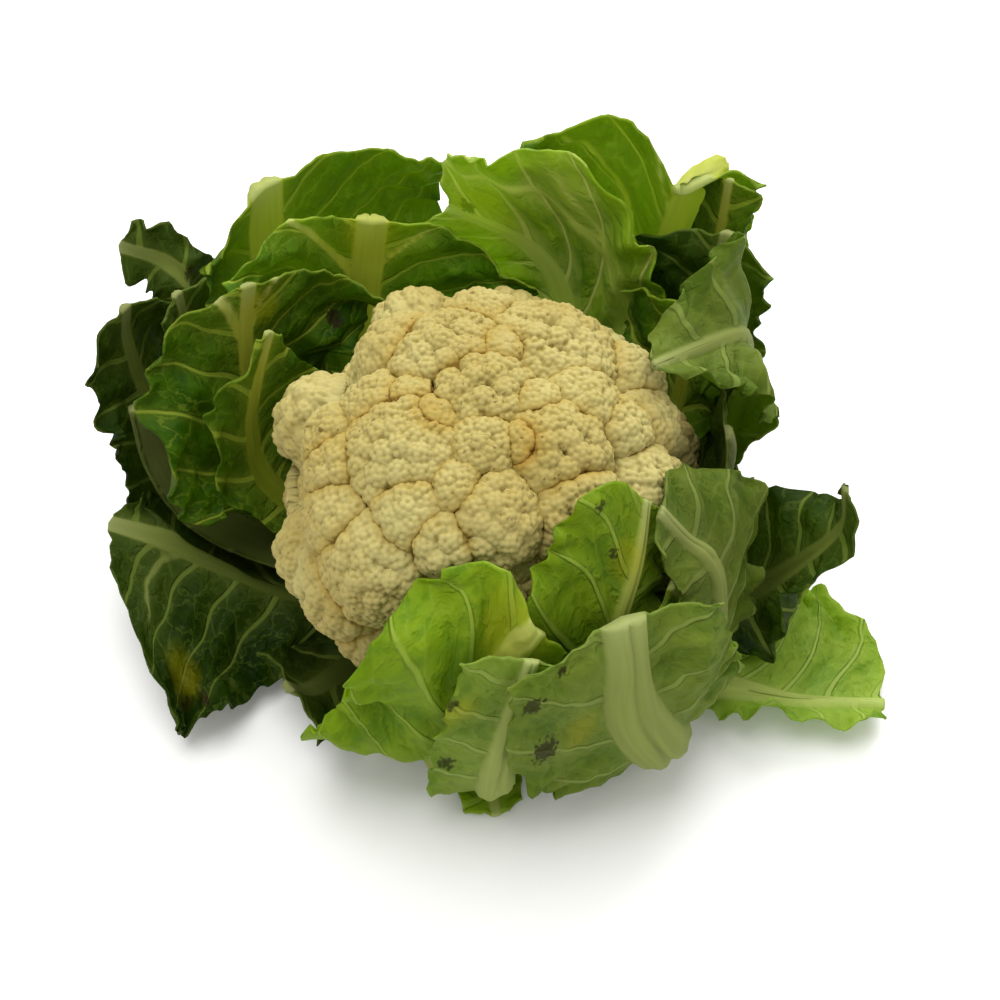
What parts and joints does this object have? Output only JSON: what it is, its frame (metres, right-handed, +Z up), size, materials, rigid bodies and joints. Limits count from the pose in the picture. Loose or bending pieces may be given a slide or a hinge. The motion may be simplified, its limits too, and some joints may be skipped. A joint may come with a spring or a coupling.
{
  "type": "cauliflower",
  "caption": "Trimmed fresh cauliflower head: a cream domed curd of florets on a short cut stem, wrapped in loose green ribbed leaves with cut tops.",
  "frame": {"origin": "centre of the stem's flat cut face, on the surface the head stands on", "axes": "+Z up along the stem through the curd; -Y toward the low front leaves over which the curd shows; +X to that side's right, where one outer leaf lies on the surface"},
  "size_m": [0.316, 0.2646, 0.1615],
  "materials": {
    "curd": null,
    "stem": "pale green cut stem, satin; wood stands in for plant flesh",
    "leaf_sunlit": "waxy satin leaf with a pale rib; leather stands in for leaf",
    "leaf_green": "waxy satin leaf with a pale rib; leather stands in for leaf",
    "leaf_dark": "waxy satin leaf with a pale rib; leather stands in for leaf",
    "leaf_pale": "waxy satin leaf with a pale rib; leather stands in for leaf"
  },
  "bodies": {
    "root": {"curd": "curd", "stem": "stem", "leaf_front_inner": "leaf_sunlit", "leaf_front_bud": "leaf_green", "leaf_left_inner": "leaf_green", "leaf_right_inner": "leaf_green", "leaf_left": "leaf_green", "leaf_back_left_inner": "leaf_green", "leaf_left_curl": "leaf_dark", "leaf_back": "leaf_sunlit", "leaf_front_left": "leaf_sunlit", "leaf_right_low": "leaf_pale", "leaf_right": "leaf_pale", "leaf_front_right": "leaf_pale", "leaf_front_mid": "leaf_pale", "leaf_front": "leaf_pale", "leaf_right_curled": "leaf_dark", "leaf_back_torn": "leaf_green", "leaf_back_right": "leaf_green", "leaf_back_left": "leaf_green", "leaf_left_low_inner": "leaf_dark", "leaf_left_stub": "leaf_pale", "leaf_left_low": "leaf_dark", "leaf_left_outer": "leaf_dark", "leaf_back_left_outer": "leaf_dark", "leaf_far_right": "leaf_dark", "leaf_fallen": "leaf_pale", "leaf_front_flap": "leaf_dark"}
  },
  "joints": []
}
